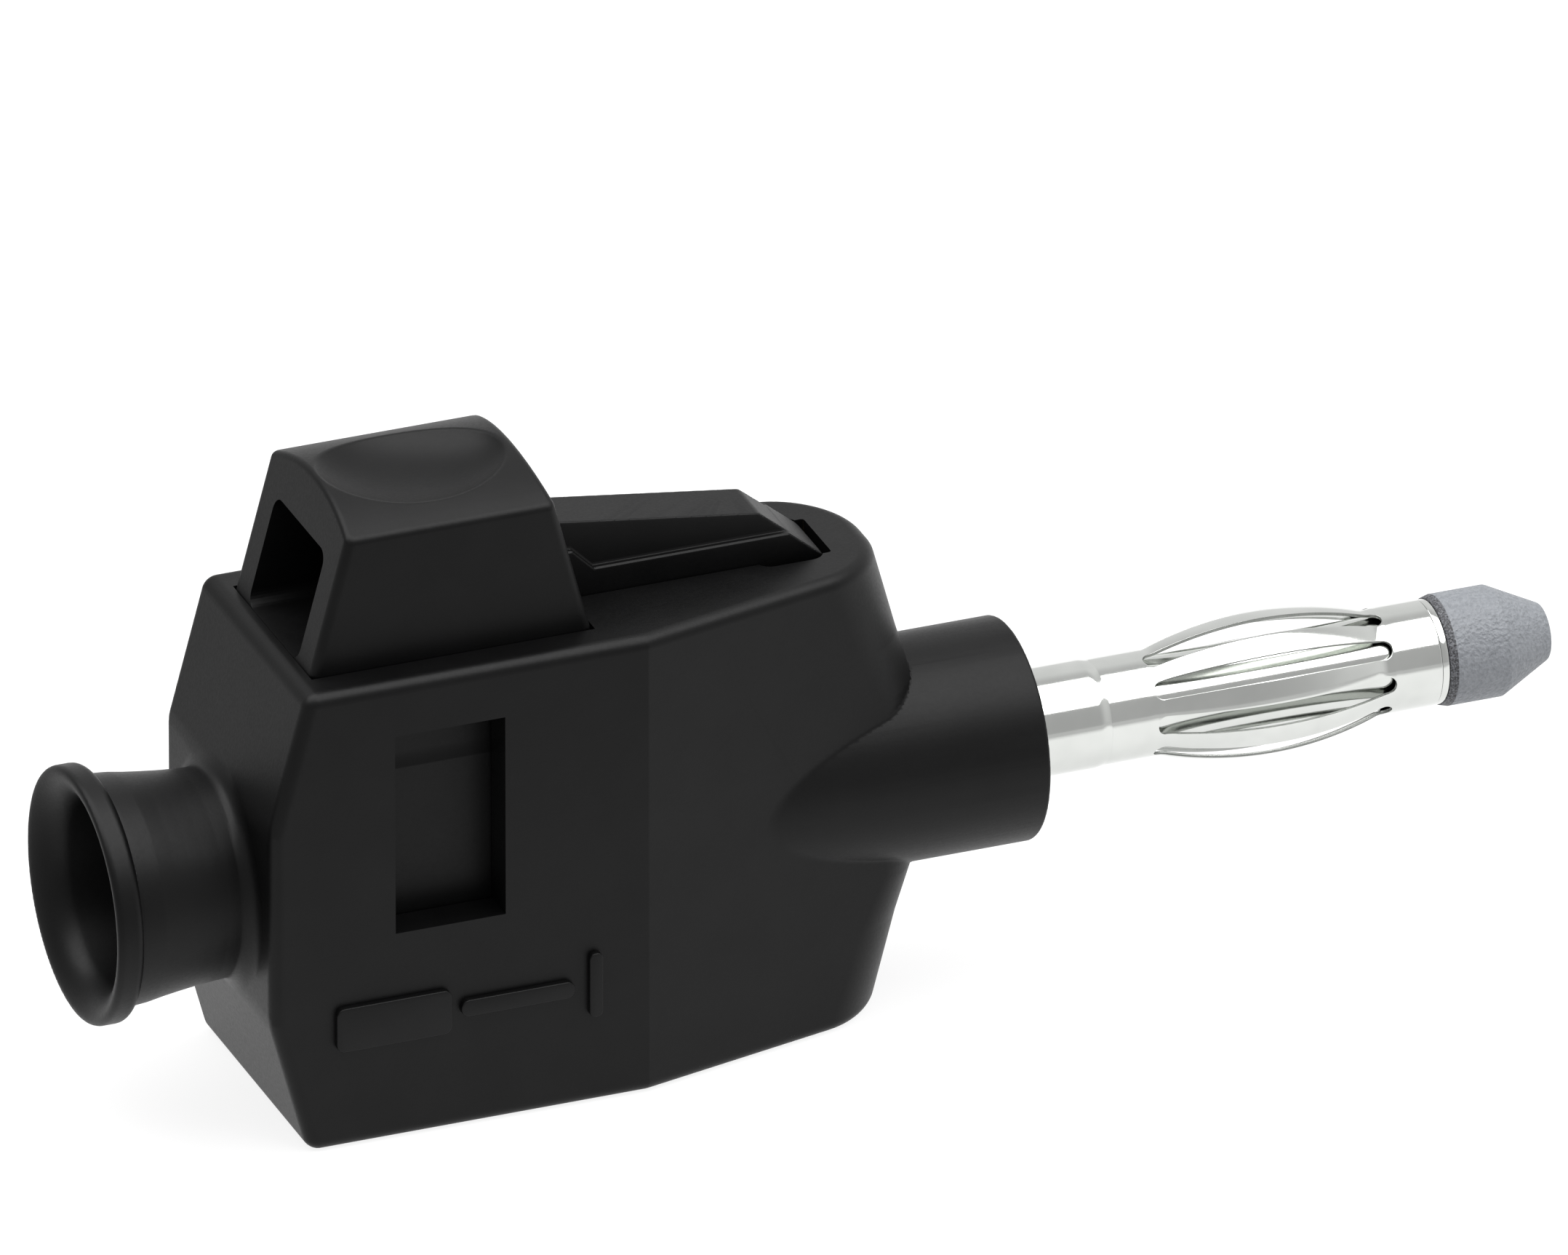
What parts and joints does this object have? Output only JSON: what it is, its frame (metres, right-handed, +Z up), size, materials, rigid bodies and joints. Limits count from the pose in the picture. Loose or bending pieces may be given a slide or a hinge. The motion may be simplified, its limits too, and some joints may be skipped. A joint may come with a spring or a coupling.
{
  "type": "laboratory plug with push-lever wire clamp",
  "caption": "Slim black laboratory plug with a flared wire funnel, a push lever over an internal clamp, and a nickel lantern-spring pin with an insulating tip.",
  "frame": {"origin": "bottom centre of the whole part's box, on the surface the housing's flat base rests on", "axes": "+X runs along the plug from the wire funnel to the tip, +Y across its width, +Z up towards the push button"},
  "size_m": [0.0554, 0.0104, 0.0237],
  "materials": {
    "black_polyamide": "fine-grained matte moulded plastic",
    "grey_polyamide": "pebbled matte moulded plastic",
    "nickel": "bright nickel plating on brass and copper alloy",
    "brass": "plain turned brass",
    "tinned_copper": "satin tin plating on copper",
    "spring_steel": "rolled stainless strip"
  },
  "bodies": {
    "plug": {"housing": "black_polyamide", "plug_pin": "nickel", "lantern_cage": "nickel", "retaining_ring": "nickel", "insulating_tip": "grey_polyamide", "contact_frame": "tinned_copper", "clamp_spring": "spring_steel"},
    "lever": {"push_lever": "black_polyamide", "pivot_pin": "brass"}
  },
  "joints": [
    {"name": "lever_press", "type": "hinge", "parent": "plug", "child": "lever", "pos_m": [-0.00125, 0, 0.01622], "axis": [0, -1, 0], "range_deg": [0, 8], "stiffness_Nm_per_rad": 0.05, "springref_deg": -17.19, "deforming": ["clamp_spring"]}
  ]
}
